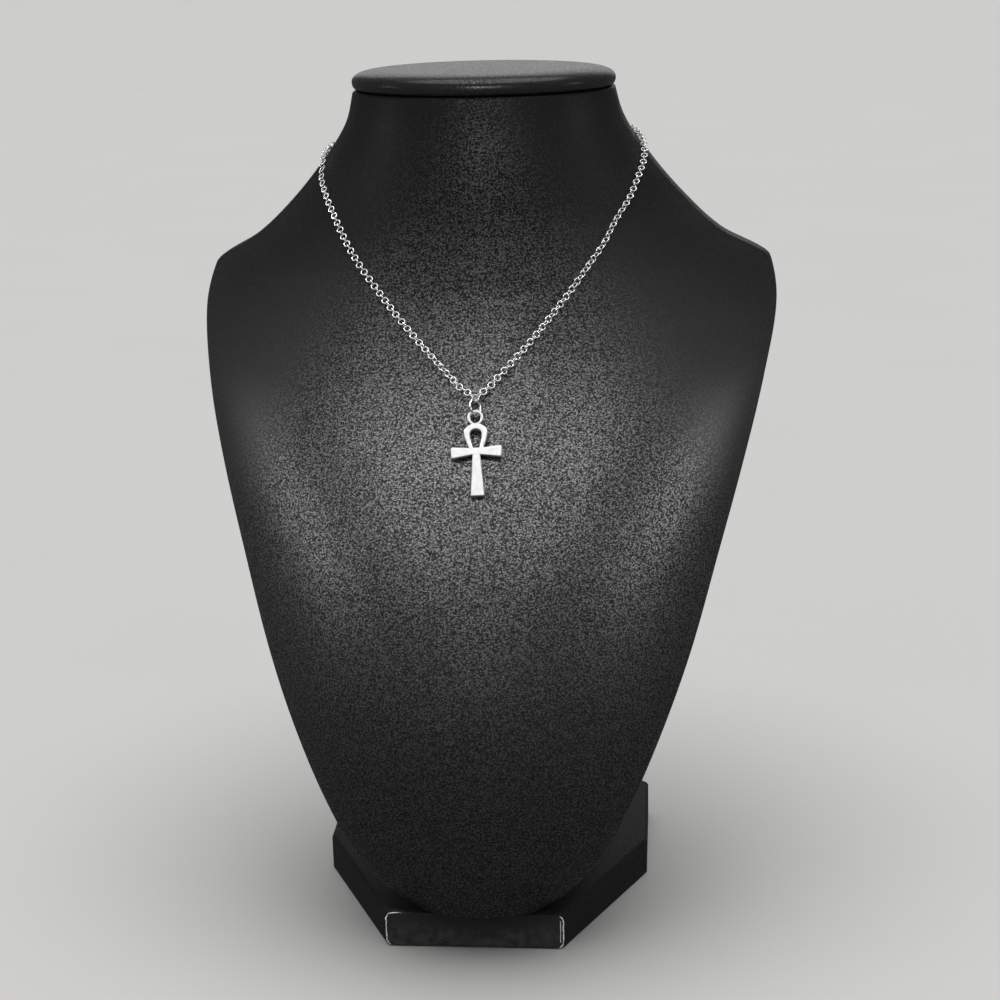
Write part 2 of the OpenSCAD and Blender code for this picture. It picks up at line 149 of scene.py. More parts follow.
def blended(a, b, rate_a, rate_b, s):
    """A smooth curve from a to b that leaves and arrives at the given rates."""
    return (
        (2 * s**3 - 3 * s**2 + 1) * a
        + (s**3 - 2 * s**2 + s) * rate_a
        + (3 * s**2 - 2 * s**3) * b
        + (s**3 - s**2) * rate_b
    )


def even_turns(count):
    """Angles in radians, evenly spaced once round."""
    return 2 * np.pi * np.arange(count) / count


def ring_faces(count, sides, looped=False):
    """Faces over a stack of rings, each with as many points, anticlockwise from above."""
    faces = []
    for r in range(count if looped else count - 1):
        low, high = r * sides, (r + 1) % count * sides
        for i in range(sides):
            j = (i + 1) % sides
            faces.append((low + i, low + j, high + j, high + i))
    if not looped:
        faces.append(tuple(reversed(range(sides))))
        faces.append(tuple(range((count - 1) * sides, count * sides)))
    return faces


def make_piece(name, points, faces, finish, crease=40):
    """A named mesh piece from points in millimetres, smooth but for edges over the crease."""
    mesh = bpy.data.meshes.new(name)
    mesh.from_pydata((np.asarray(points, float).reshape(-1, 3) * MM).tolist(), [], faces)
    mesh.polygons.foreach_set("use_smooth", [True] * len(mesh.polygons))
    mesh.set_sharp_from_angle(angle=math.radians(crease))
    mesh.materials.append(finish)
    piece = bpy.data.objects.new(name, mesh)
    bpy.context.scene.collection.objects.link(piece)
    return piece


def merged_shapes(shapes):
    """One list of points and one of faces from several (points, faces) pairs."""
    points, faces, start = [], [], 0
    for shape_points, shape_faces in shapes:
        shape_points = np.asarray(shape_points, float).reshape(-1, 3)
        points.append(shape_points)
        faces += [tuple(start + i for i in face) for face in shape_faces]
        start += len(shape_points)
    return np.vstack(points), faces


def swept_wire(line, radius, sides, looped=False, up=(0, 0, 1)):
    """A round wire along a line of points; radius is one number or one for each point."""
    line = np.asarray(line, float)
    count = len(line)
    radii = np.broadcast_to(radius, count)
    rings = []
    for i in range(count):
        after = line[(i + 1) % count] if looped else line[min(i + 1, count - 1)]
        before = line[i - 1] if looped else line[max(i - 1, 0)]
        along = unit(after - before)
        out = unit(np.cross(along, up))
        rise = np.cross(out, along)
        turns = even_turns(sides)
        rings.append(
            line[i]
            + radii[i] * (np.outer(np.cos(turns), out) + np.outer(np.sin(turns), rise))
        )
    return np.array(rings), ring_faces(count, sides, looped)


# The torso's skin


def share(h, column):
    """A column of the section table, smoothly read at a share of the torso's height."""
    heights = SECTIONS[:, HEIGHT]
    values = SECTIONS[:, column]
    i = int(np.clip(np.searchsorted(heights, h, side="right") - 1, 0, len(heights) - 2))

    def rate(row):
        low, high = max(row - 1, 0), min(row + 1, len(heights) - 1)
        return (values[high] - values[low]) / (heights[high] - heights[low])

    span = heights[i + 1] - heights[i]
    s = min(max((h - heights[i]) / span, 0), 1)
    return blended(values[i], values[i + 1], span * rate(i), span * rate(i + 1), s)


def height_share(z):
    return (z - TORSO_Z) / TORSO_H


def height_at(h):
    return TORSO_Z + TORSO_H * h


def half_width(z):
    h = height_share(z)
    return NECK_HALF * share(h, NECK) + SHOULDER_HALF * share(h, SHOULDER)


def front_reach(z):
    h = height_share(z)
    return NECK_HALF_D * share(h, NECK) + CHEST_REACH * share(h, CHEST)


def back_out(z):
    h = height_share(z)
    return NECK_HALF_D * share(h, NECK) + BACK_REACH * share(h, BACK)


def front_curve(x, z):
    """How far before the neck's axis the front lies at x."""
    h = height_share(z)
    fall = CHEST_REACH * share(h, FALL)
    u = x / (half_width(z) + SHOULDER_HALF * share(h, PAST))
    bow = np.maximum(1 - u**2, 0) ** share(h, BEND)
    return fall + (front_reach(z) - fall) * bow


def back_curve(x, z):
    """How far behind the neck's axis the back lies at x."""
    rim = RIM_WALL - front_curve(half_width(z), z)
    turned = np.sqrt(np.maximum(1 - (x / half_width(z)) ** 2, 0))
    return rim + (back_out(z) - rim) * turned


def skin(turn, z):
    """The point on the torso at a turn about the neck, in degrees from the middle of the front."""
    x = half_width(z) * math.sin(math.radians(turn))
    if math.cos(math.radians(turn)) >= 0:
        return np.array([x, NECK_Y - front_curve(x, z), z])
    return np.array([x, NECK_Y + back_curve(x, z), z])


def skin_normal(turn, z):
    across = skin(turn + 2, z) - skin(turn - 2, z)
    up = skin(turn, z + 1) - skin(turn, z - 1)
    return unit(np.cross(across, up))


def seat(turn, z, off):
    """A point that lies off the skin by the given distance."""
    return skin(turn, z) + off * skin_normal(turn, z)


# Shader groups


def new_group(name, inputs, outputs):
    """A shader node group with named float or vector sockets."""
    kinds = {"f": "NodeSocketFloat", "v": "NodeSocketVector"}
    group = bpy.data.node_groups.new(name, "ShaderNodeTree")
    for label, kind, value in inputs:
        socket = group.interface.new_socket(label, in_out="INPUT", socket_type=kinds[kind])
        if value is not None:
            socket.default_value = value
    for label, kind in outputs:
        group.interface.new_socket(label, in_out="OUTPUT", socket_type=kinds[kind])
    return group, group.nodes.new("NodeGroupInput"), group.nodes.new("NodeGroupOutput")


def math_node(tree, operation, a, b=None, clamp=False):
    node = tree.nodes.new("ShaderNodeMath")
    node.operation = operation
    node.use_clamp = clamp
    for socket, value in zip(node.inputs, (a, b)):
        if isinstance(value, bpy.types.NodeSocket):
            tree.links.new(value, socket)
        elif value is not None:
            socket.default_value = value
    return node.outputs[0]


def ranged(tree, value, low, high, to_low, to_high, smooth=True):
    """The value moved from one range to another, and held at its ends."""
    node = tree.nodes.new("ShaderNodeMapRange")
    node.interpolation_type = "SMOOTHSTEP" if smooth else "LINEAR"
    tree.links.new(value, node.inputs["Value"])
    for label, number in zip(
        ("From Min", "From Max", "To Min", "To Max"), (low, high, to_low, to_high)
    ):
        node.inputs[label].default_value = number
    return node.outputs["Result"]


def noise(tree, place, scale, detail=2.0, roughness=0.5):
    node = tree.nodes.new("ShaderNodeTexNoise")
    tree.links.new(place, node.inputs["Vector"])
    if isinstance(scale, bpy.types.NodeSocket):
        tree.links.new(scale, node.inputs["Scale"])
    else:
        node.inputs["Scale"].default_value = scale
    node.inputs["Detail"].default_value = detail
    node.inputs["Roughness"].default_value = roughness
    return node.outputs["Fac"]


def colour_mix(tree, fac, dark, light):
    node = tree.nodes.new("ShaderNodeMix")
    node.data_type = "RGBA"
    tree.links.new(fac, node.inputs["Factor"])
    for socket, value in ((node.inputs[6], dark), (node.inputs[7], light)):
        if isinstance(value, bpy.types.NodeSocket):
            tree.links.new(value, socket)
        else:
            socket.default_value = (*value, 1)
    return node.outputs[2]


def pebble_grain_group():
    """Embossed leatherette: pebbles of a given size with fine creases between them."""
    group, given, result = new_group(
        "pebble_grain",
        [("Place", "v", None), ("Pebbles per metre", "f", 800.0), ("Crease width", "f", 0.2)],
        [("Height", "f"), ("Crease", "f"), ("Mottle", "f"), ("Tops", "f")],
    )
    squeeze = group.nodes.new("ShaderNodeVectorMath")
    squeeze.operation = "MULTIPLY"
    group.links.new(given.outputs["Place"], squeeze.inputs[0])
    squeeze.inputs[1].default_value = (1.0, 1.0, 1.25)
    place = squeeze.outputs[0]
    density = given.outputs["Pebbles per metre"]
    warp = group.nodes.new("ShaderNodeTexNoise")
    group.links.new(place, warp.inputs["Vector"])
    group.links.new(math_node(group, "MULTIPLY", density, 0.7), warp.inputs["Scale"])
    shift = group.nodes.new("ShaderNodeVectorMath")
    shift.operation = "MULTIPLY_ADD"
    group.links.new(warp.outputs["Color"], shift.inputs[0])
    shift.inputs[1].default_value = (0.0009, 0.0009, 0.0009)
    group.links.new(place, shift.inputs[2])
    edges = group.nodes.new("ShaderNodeTexVoronoi")
    edges.feature = "DISTANCE_TO_EDGE"
    cells = group.nodes.new("ShaderNodeTexVoronoi")
    cells.feature = "F1"
    for node in (edges, cells):
        group.links.new(shift.outputs[0], node.inputs["Vector"])
        group.links.new(density, node.inputs["Scale"])
    rise = group.nodes.new("ShaderNodeMapRange")
    rise.interpolation_type = "SMOOTHSTEP"
    group.links.new(edges.outputs["Distance"], rise.inputs["Value"])
    group.links.new(given.outputs["Crease width"], rise.inputs["From Max"])
    dome = ranged(group, cells.outputs["Distance"], 0.1, 0.7, 1.0, 0.0)
    ripple = noise(group, place, math_node(group, "MULTIPLY", density, 1.1), 2.0, 0.6)
    ripple = ranged(group, ripple, 0.42, 0.6, 0.0, 1.0)
    body = math_node(group, "ADD", math_node(group, "MULTIPLY", dome, 0.4), ripple)
    height = math_node(group, "MULTIPLY", rise.outputs["Result"], body)
    group.links.new(height, result.inputs["Height"])
    crease = math_node(group, "SUBTRACT", 1.0, rise.outputs["Result"], clamp=True)
    group.links.new(crease, result.inputs["Crease"])
    mottle = noise(group, place, 30.0, 4.0, 0.6)
    group.links.new(mottle, result.inputs["Mottle"])
    # Tops: high on the pebbles and nil in the creases. It sets the coat and the painted crease
    # shade in the colour.
    tops = math_node(group, "MULTIPLY", ripple, rise.outputs["Result"])
    group.links.new(tops, result.inputs["Tops"])
    return group


def silver_wear_group():
    """Cast or drawn silver: faint waviness, pores and a thin haze of handling."""
    group, given, result = new_group(
        "silver_wear",
        [("Place", "v", None), ("Detail per metre", "f", 900.0), ("Haze", "f", 0.5)],
        [("Height", "f"), ("Haze mask", "f")],
    )
    place = given.outputs["Place"]
    density = given.outputs["Detail per metre"]
    wave = noise(group, place, math_node(group, "MULTIPLY", density, 0.35), 1.0)
    grit = noise(group, place, math_node(group, "MULTIPLY", density, 3.0), 3.0)
    pores = ranged(group, grit, 0.56, 0.7, 0.0, 1.0)
    height = math_node(
        group, "SUBTRACT", wave, math_node(group, "MULTIPLY", pores, 0.12)
    )
    group.links.new(height, result.inputs["Height"])
    cloud = noise(group, place, density, 3.0, 0.6)
    hazed = ranged(group, cloud, 0.35, 0.7, 0.0, 1.0)
    group.links.new(
        math_node(group, "MULTIPLY", hazed, given.outputs["Haze"]), result.inputs["Haze mask"]
    )
    return group


PEBBLE_GRAIN = pebble_grain_group()
SILVER_WEAR = silver_wear_group()


# Finishes


def new_finish(name):
    finish = bpy.data.materials.new(name)
    finish.use_nodes = True
    tree = finish.node_tree
    shader = tree.nodes["Principled BSDF"]
    place = tree.nodes.new("ShaderNodeTexCoord").outputs["Object"]
    return finish, tree, shader, place


def place_group(tree, group, place, **values):
    node = tree.nodes.new("ShaderNodeGroup")
    node.node_tree = group
    tree.links.new(place, node.inputs["Place"])
    for label, value in values.items():
        node.inputs[label.replace("_", " ")].default_value = value
    return node


def raised(tree, shader, height, depth):
    """Relief in the surface, depth millimetres high where the height is 1."""
    bump = tree.nodes.new("ShaderNodeBump")
    bump.inputs["Distance"].default_value = depth * MM
    bump.inputs["Strength"].default_value = 1.0
    tree.links.new(height, bump.inputs["Height"])
    tree.links.new(bump.outputs["Normal"], shader.inputs["Normal"])


def tops_evened_high(tree, place, tops):
    """The tops, evened out over the neck, the shoulders and the sides up high, which evens the
    painted crease shade and the coat there.
    """
    mean_tops, most_evening = 0.3, 0.8
    parts = tree.nodes.new("ShaderNodeSeparateXYZ")
    tree.links.new(place, parts.inputs[0])
    beside = math_node(tree, "ABSOLUTE", parts.outputs["X"])
    above = math_node(tree, "MULTIPLY", parts.outputs["Z"], 0.6)
    evening = ranged(tree, math_node(tree, "ADD", beside, above), 0.162, 0.195, 0.0, most_evening)
    missing = math_node(tree, "SUBTRACT", mean_tops, tops)
    return math_node(tree, "ADD", tops, math_node(tree, "MULTIPLY", missing, evening))


def leather(name, dark, light, pebbles, depth, rough, polish, crease_w, gloss):
    """Black leatherette with that many pebbles per metre.

    rough runs from the tops to the creases; polish is the weight, roughness and IOR of the
    clear coat on the tops.
    """
    finish, tree, shader, place = new_finish(name)
    grain = place_group(
        tree, PEBBLE_GRAIN, place, Pebbles_per_metre=pebbles, Crease_width=crease_w
    )
    tops = tops_evened_high(tree, place, grain.outputs["Tops"])
    # Colour: darker in the creases and lighter on the pebble tops, which is painted crease shade,
    # mixed with a random mottle
    tone = ranged(tree, grain.outputs["Mottle"], 0.3, 0.7, 0.7, 1.0)
    tone = math_node(tree, "MULTIPLY", tone, tops)
    tree.links.new(colour_mix(tree, tone, dark, light), shader.inputs["Base Color"])
    tree.links.new(
        ranged(tree, grain.outputs["Crease"], 0.0, 1.0, rough[0], rough[1]),
        shader.inputs["Roughness"],
    )
    tree.links.new(
        math_node(tree, "MULTIPLY", tops, polish[0]), shader.inputs["Coat Weight"]
    )
    shader.inputs["Coat Roughness"].default_value = polish[1]
    shader.inputs["Coat IOR"].default_value = polish[2]
    shader.inputs["Specular IOR Level"].default_value = gloss
    raised(tree, shader, grain.outputs["Height"], depth)
    return finish


def silver(name, bright, dull, detail, depth, rough, haze):
    """Silver with handling marks; rough runs from its clean to its hazed parts."""
    finish, tree, shader, place = new_finish(name)
    wear = place_group(tree, SILVER_WEAR, place, Detail_per_metre=detail, Haze=haze)
    tree.links.new(
        colour_mix(tree, wear.outputs["Haze mask"], bright, dull), shader.inputs["Base Color"]
    )
    tree.links.new(
        ranged(tree, wear.outputs["Haze mask"], 0.0, 1.0, rough[0], rough[1]),
        shader.inputs["Roughness"],
    )
    shader.inputs["Metallic"].default_value = 1.0
    raised(tree, shader, wear.outputs["Height"], depth)
    return finish


def torn_edge_finish():
    """Pale backing cloth that shows where the facing was cut."""
    finish, tree, shader, place = new_finish("torn_leather_edge")
    fibre = noise(tree, place, 1500.0, 4.0, 0.7)
    tone = ranged(tree, fibre, 0.35, 0.65, 0.0, 1.0)
    tree.links.new(
        colour_mix(tree, tone, (0.42, 0.42, 0.4), (0.86, 0.86, 0.84)),
        shader.inputs["Base Color"],
    )
    shader.inputs["Roughness"].default_value = 0.9
    raised(tree, shader, fibre, 0.25)
    return finish


def facing_finish():
    """Scuffed grey leather of the plinth's facing, darker towards its top."""
    finish, tree, shader, place = new_finish("facing_leather")
    grain = place_group(
        tree, PEBBLE_GRAIN, place, Pebbles_per_metre=900.0, Crease_width=0.3
    )
    scuff = ranged(tree, noise(tree, place, 260.0, 5.0, 0.65), 0.38, 0.66, 0.0, 1.0)
    height = tree.nodes.new("ShaderNodeSeparateXYZ")
    tree.links.new(place, height.inputs[0])
    lower = ranged(tree, height.outputs["Z"], 0.0115, 0.005, 0.0, 1.0)
    tone = math_node(tree, "MULTIPLY", scuff, lower)
    tree.links.new(
        colour_mix(tree, tone, (0.012, 0.012, 0.0123), (0.034, 0.033, 0.032)),
        shader.inputs["Base Color"],
    )
    tree.links.new(
        ranged(tree, scuff, 0.0, 1.0, 0.55, 0.8), shader.inputs["Roughness"]
    )
    shader.inputs["Specular IOR Level"].default_value = 0.4
    raised(tree, shader, grain.outputs["Height"], 0.08)
    return finish


def floor_finish():
    finish, tree, shader, place = new_finish("pale_floor")
    tone = ranged(tree, noise(tree, place, 6.0, 3.0), 0.3, 0.7, 0.0, 1.0)
    tree.links.new(
        colour_mix(tree, tone, (0.7, 0.695, 0.685), (0.71, 0.705, 0.695)),
        shader.inputs["Base Color"],
    )
    shader.inputs["Roughness"].default_value = 0.85
    shader.inputs["Specular IOR Level"].default_value = 0.2
    return finish


# Each leather's colour runs from its crease colour to its top colour; the darker creases are
# painted shade
BUST_LEATHER = leather(
    "bust_leather", (0.006, 0.006, 0.0063), (0.012, 0.012, 0.0126), 1250.0, 0.4, (0.4, 0.7),
    (1.0, 0.45, 2.1), crease_w=0.16, gloss=0.12,
)
CAP_LEATHER = leather(
    "cap_leather", (0.005, 0.005, 0.0053), (0.013, 0.013, 0.0137), 1150.0, 0.2, (0.3, 0.6),
    (1.0, 0.24, 2.2), crease_w=0.14, gloss=0.3,
)
PLINTH_LEATHER = leather(
    "plinth_leather", (0.004, 0.004, 0.0042), (0.012, 0.012, 0.0126), 1300.0, 0.06, (0.6, 0.75),
    (0.1, 0.4, 1.5), crease_w=0.2, gloss=0.3,
)
CHAIN_SILVER = silver(
    "chain_silver", (0.95, 0.95, 0.945), (0.75, 0.75, 0.76), 1600.0, 0.02, (0.18, 0.38), 0.6
)
ANKH_SILVER = silver(
    "cast_silver", (0.88, 0.88, 0.875), (0.72, 0.72, 0.72), 700.0, 0.06, (0.35, 0.48), 0.5
)
TORN_EDGE = torn_edge_finish()
FACING_LEATHER = facing_finish()


# Bust


def rim_bend(start, start_way, end, end_way, steps):
    """Points after start, up to end, on a curve that leaves and arrives along the ways."""
    reach = 0.55 * np.linalg.norm(end - start)
    a, b, c, d = start, start + reach * start_way, end - reach * end_way, end
    return [
        (1 - s) ** 3 * a + 3 * s * (1 - s) ** 2 * b + 3 * s**2 * (1 - s) * c + s**3 * d
        for s in np.arange(1, steps + 1) / steps
    ]


def bust_ring(z, inset=0.0, level=None):
    """A section of the torso with its rims turned over as the wrapped leather does."""
    front_points, back_points, rim_points, soft = 121, 61, 6, 2.4
    half = half_width(z)
    inner = half - min(soft, 0.2 * half)
    front = [
        np.array([x, NECK_Y - front_curve(x, z)])
        for x in inner * np.sin(np.radians(np.linspace(-90, 90, front_points)))
    ]
    back = [
        np.array([x, NECK_Y + back_curve(x, z)])
        for x in inner * np.sin(np.radians(np.linspace(90, -90, back_points)))
    ]
    middle_y = NECK_Y - front_curve(half, z) + RIM_WALL / 2
    step = 0.05
    front_way = unit([step, front_curve(inner - step, z) - front_curve(inner, z)])
    back_way = unit([-step, back_curve(inner - step, z) - back_curve(inner, z)])
    right = np.array([half, middle_y])
    turned_right = rim_bend(front[-1], front_way, right, np.array([0, 1]), rim_points)
    turned_right += rim_bend(right, np.array([0, 1]), back[0], back_way, rim_points)[:-1]
    left = [p * (-1, 1) for p in reversed(turned_right)]
    ring = np.array(front + turned_right + back + left)
    keep = 1 - inset / half
    mid = np.array([0, NECK_Y - (front_reach(z) - back_out(z)) / 2])
    ring = mid + (ring - mid) * keep
    return np.column_stack([ring, np.full(len(ring), z if level is None else level)])


def leather_bust():
    """The wrapped torso, from its rounded tip on the plinth to the rounded top of the neck."""
    tip_r, step = 1.2, 1.5
    tip_edge, top_edge = TORSO_Z + tip_r, NECK_H - EDGE_R
    tip = [
        bust_ring(tip_edge, tip_r * (1 - math.cos(a)), TORSO_Z + tip_r * (1 - math.sin(a)))
        for a in np.radians(np.arange(75, 0, -15))
    ]
    levels = int((top_edge - TORSO_Z) / step)
    sides = [bust_ring(z) for z in np.linspace(tip_edge, top_edge, levels)]
    shoulder = [
        bust_ring(top_edge, EDGE_R * (1 - math.cos(a)), top_edge + EDGE_R * math.sin(a))
        for a in np.radians(np.arange(15, 91, 15))
    ]
    rings = np.array(tip + sides + shoulder)
    faces = ring_faces(len(rings), len(rings[0]))
    piece = make_piece("bust_leather_cover", rings, faces, BUST_LEATHER)
    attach(piece, "display")
    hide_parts("torso")


def neck_cap_leather():
    """The padded cap: a tucked underside, a full edge and a slightly crowned top."""
    sides = 180
    widest = NECK_H + CAP_SEAM + CAP_RIM_H

    def cap_ring(inset, scale, z):
        a, b = NECK_HALF + CAP_LIP - inset, NECK_HALF_D + CAP_LIP - inset
        turns = even_turns(sides)
        return np.column_stack(
            [
                scale * a * np.cos(turns),
                NECK_Y + scale * b * np.sin(turns),
                np.full(sides, z),
            ]
        )

    underside = [
        cap_ring(CAP_TUCK * (1 - math.cos(a)), 1, widest + CAP_RIM_H * math.sin(a))
        for a in np.radians(np.arange(-90, 0, 10))
    ]
    crown, fullness = 0.5, 12

    def dome_height(out):
        side = (CAP_H - CAP_RIM_H - crown) * (1 - out**fullness) ** (1 / 2.2)
        return side + crown * (1 - out**2)

    dome = [
        cap_ring(0, out, widest + dome_height(out)) for out in 1 - np.linspace(0, 0.995, 30) ** 2
    ]
    rings = np.array(underside + dome)
    piece = make_piece(
        "neck_cap_cover", rings, ring_faces(len(rings), sides), CAP_LEATHER
    )
    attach(piece, "display")
    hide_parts("neck_cap")


def rounded_outline(corners, radius, steps):
    """Points round a convex row of corners, each with the corner's centre kept aside."""
    count = len(corners)
    outline = []
    for i, corner in enumerate(corners):
        before = unit(corner - corners[i - 1])
        after = unit(corners[(i + 1) % count] - corner)
        start = math.atan2(-before[0], before[1])
        turn = math.atan2(before[0] * after[1] - before[1] * after[0], before @ after)
        for k in range(steps + 1):
            a = start + turn * k / steps
            outline.append(corner + radius * np.array([math.cos(a), math.sin(a)]))
    return np.array(outline)


def plinth_board():
    """The board with its slanted corners and softly rounded edges."""
    right = [
        np.array([x - EDGE_R, y + (-EDGE_R if y > 0 else EDGE_R)]) for x, y in PLINTH_CORNERS
    ]
    left = [p * (-1, 1) for p in reversed(right)]
    corners = np.array(right + left) + (PLINTH_SHIFT, PLINTH_FRONT_Y)

    def level(inset, z):
        ring = rounded_outline(corners, max(EDGE_R - inset, 0.02), 6)
        return np.column_stack([ring, np.full(len(ring), z)])

    arc = np.radians(np.arange(0, 91, 15))
    top = PLINTH_H - EDGE_R
    rings = [level(0.35, 0), level(0, 0.35)]
    rings += [level(0, z) for z in np.linspace(2, top - 0.5, 5)]
    rings += [level(EDGE_R * (1 - math.cos(a)), top + EDGE_R * math.sin(a)) for a in arc]
    rings = np.array(rings)
    piece = make_piece(
        "plinth_wrap", rings, ring_faces(len(rings), len(rings[0])), PLINTH_LEATHER
    )
    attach(piece, "display")
    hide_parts("plinth")


def facing_cut_edge(left, right, low, high, front):
    """The torn edge: uneven strands of the backing cloth along the facing's outline."""
    rim, edge_y = FACING_CORNER_R - 0.1, front - 0.05
    fray, thread_end = 0.1, 0.05

    def corner_arc(x, z, start, end, steps):
        return [
            np.array([x + rim * math.cos(a), edge_y, z + rim * math.sin(a)])
            for a in np.radians(np.linspace(start, end, steps))
        ]

    rng = random.Random(5)
    left_line = [np.array([left + 3 - k, edge_y, high + rim]) for k in range(3)]
    left_line += corner_arc(left, high, 85, 180, 12)
    left_line += [np.array([left - rim, edge_y, z]) for z in np.linspace(high - 1, low, 6)]
    left_line += corner_arc(left, low, 180, 240, 8)
    right_line = corner_arc(right, low, -70, 0, 9)
    right_line += [
        np.array([right + rim, edge_y, z]) for z in np.linspace(low, high, 8)[1:-1]
    ]
    right_line += corner_arc(right, high, 0, 60, 8)
    inner_line = [p - (1.0, 0, 0) for p in right_line[7:-6]]
    strands = []
    for line, thick in ((left_line, 0.2), (right_line, 0.2), (inner_line, 0.12)):
        line = [
            p + np.array([rng.uniform(-fray, fray), 0, rng.uniform(-fray, fray)]) for p in line
        ]
        radii = [thick * rng.uniform(0.5, 1.35) for _ in line]
        radii[0] = radii[-1] = thread_end
        strands.append(swept_wire(line, radii, 8, up=(0, 1, 0)))
    points, faces = merged_shapes(strands)
    edge = make_piece("facing_cut_edge", points, faces, TORN_EDGE)
    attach(edge, "display")


def facing_panel():
    """The strip stuck on the plinth's front wall, and its torn edge."""
    half_l = PLINTH_CORNERS[0][0] - FACING_MARGIN - FACING_CORNER_R
    low = FACING_MARGIN + FACING_CORNER_R
    high = PLINTH_H - FACING_MARGIN - FACING_CORNER_R
    front = PLINTH_FRONT_Y - SEAT_GAP - FACING_T
    back = PLINTH_FRONT_Y - SEAT_GAP
    corners = np.array(
        [(half_l, low), (half_l, high), (-half_l, high), (-half_l, low)]
    ) + (PLINTH_SHIFT, 0)

    def layer(inset, y):
        ring = rounded_outline(corners, FACING_CORNER_R - inset, 10)
        return np.column_stack([ring[:, 0], np.full(len(ring), y), ring[:, 1]])

    soft, flat_inset = 0.3, 1.2
    rings = [layer(0, back), layer(0, front + soft)]
    rings += [
        layer(soft * (1 - math.cos(a)), front + soft * (1 - math.sin(a)))
        for a in np.radians(np.arange(15, 91, 15))
    ]
    rings.append(layer(flat_inset, front))
    rings = np.array(rings)
    faces = ring_faces(len(rings), len(rings[0]))
    panel = make_piece("facing_panel", rings, faces, FACING_LEATHER)
    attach(panel, "display")
    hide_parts("plinth_facing")
    facing_cut_edge(PLINTH_SHIFT - half_l, PLINTH_SHIFT + half_l, low, high, front)


# Chain, ring and clasp

RING_MEAN_R = (RING_OD - RING_WIRE) / 2
LIFT = RING_MEAN_R * math.sin(math.radians(RING_TURN)) + RING_WIRE / 2 - CHAIN_D / 2
CLASP_MID = seat(CLASP_AT[0], height_at(CLASP_AT[1]), CLASP_D / 2 + REST_GAP)


def way_point(place):
    turn, h, lift = place
    return seat(turn, height_at(h), CHAIN_D / 2 + REST_GAP + lift * LIFT)


LOW_POINT = way_point(PENDANT_AT)


def chest_up_way():
    """The way up the chest at the pendant, without its sideways share."""
    z, span = height_at(PENDANT_AT[1]), 5
    up = skin(PENDANT_AT[0], z + span) - skin(PENDANT_AT[0], z - span)
    return unit([0, up[1], up[2]])


CHEST_UP = chest_up_way()
CHEST_OUT = np.array([0, -CHEST_UP[2], CHEST_UP[1]])
RING_MID = LOW_POINT + (CHAIN_D / 2 + SEAT_GAP + RING_WIRE / 2 - RING_MEAN_R) * CHEST_UP
EYELET_TOP = RING_MID - (RING_MEAN_R - RING_WIRE / 2 - EYELET_WIRE / 2 - RING_PLAY) * CHEST_UP

LINK_OD = 2.6
LINK_WIRE = 0.44
LINK_PITCH = 1.735
STEPS_TO_POINT = 24


def chain_route():
    """Close points along the chain's middle line, with their distance from its start."""
    socket = np.array([CLASP_L / 2 - SOCKET_DEPTH, 0, 0])
    way = [CLASP_MID - socket]
    way += [way_point(p) for p in WAY_LEFT] + [LOW_POINT] + [way_point(p) for p in WAY_RIGHT]
    way.append(CLASP_MID + socket)
    last, steps = len(way) - 1, STEPS_TO_POINT

    def heading(i):
        if i in (0, last):
            return np.array([-1.0, 0, 0])
        before, after = way[i] - way[i - 1], way[i + 1] - way[i]
        return unit(
            unit(before) * np.linalg.norm(after) + unit(after) * np.linalg.norm(before)
        )

    line = []
    for i in range(last):
        span = np.linalg.norm(way[i + 1] - way[i])
        line += [
            blended(way[i], way[i + 1], span * heading(i), span * heading(i + 1), k / steps)
            for k in range(steps)
        ]
    line.append(way[last])
    line = np.array(line)
    along = np.concatenate([[0], np.cumsum(np.linalg.norm(np.diff(line, axis=0), axis=1))])
    return line, along, along[(len(WAY_LEFT) + 1) * steps]


def round_link(mid, along, face, segments=24, sides=10):
    """One soldered link that lies across its face way, round as wire bent on a mandrel."""
    mean = (LINK_OD - LINK_WIRE) / 2
    side = np.cross(face, along)
    tube = even_turns(sides)
    rings = []
    for a in even_turns(segments):
        out = math.cos(a) * along + math.sin(a) * side
        rings.append(
            mid
            + mean * out
            + LINK_WIRE / 2 * (np.outer(np.cos(tube), out) + np.outer(np.sin(tube), face))
        )
    faces = ring_faces(segments, sides, looped=True)
    return np.array(rings), [tuple(reversed(face)) for face in faces]


def hung_route():
    """The route with a straight stretch on each side of the link that carries the ring."""
    line, along, low_at = chain_route()
    reach = 9.0
    tip = LOW_POINT + (CHAIN_D / 2 + SEAT_GAP + LINK_OD / 2 - LINK_WIRE) * CHEST_UP
    share_out = np.clip(np.abs(along - low_at) / reach, 0, 1)[:, None]
    anchors = [
        np.array([np.interp(low_at + side * reach, along, line[:, k]) for k in range(3)])
        for side in (-1, 1)
    ]
    chords = np.where((along < low_at)[:, None], anchors[0], anchors[1])
    straight = tip * (1 - share_out) + chords * share_out
    line = np.where(share_out < 1, straight, line)
    along = np.concatenate([[0], np.cumsum(np.linalg.norm(np.diff(line, axis=0), axis=1))])
    return line, along, along[(len(WAY_LEFT) + 1) * STEPS_TO_POINT]


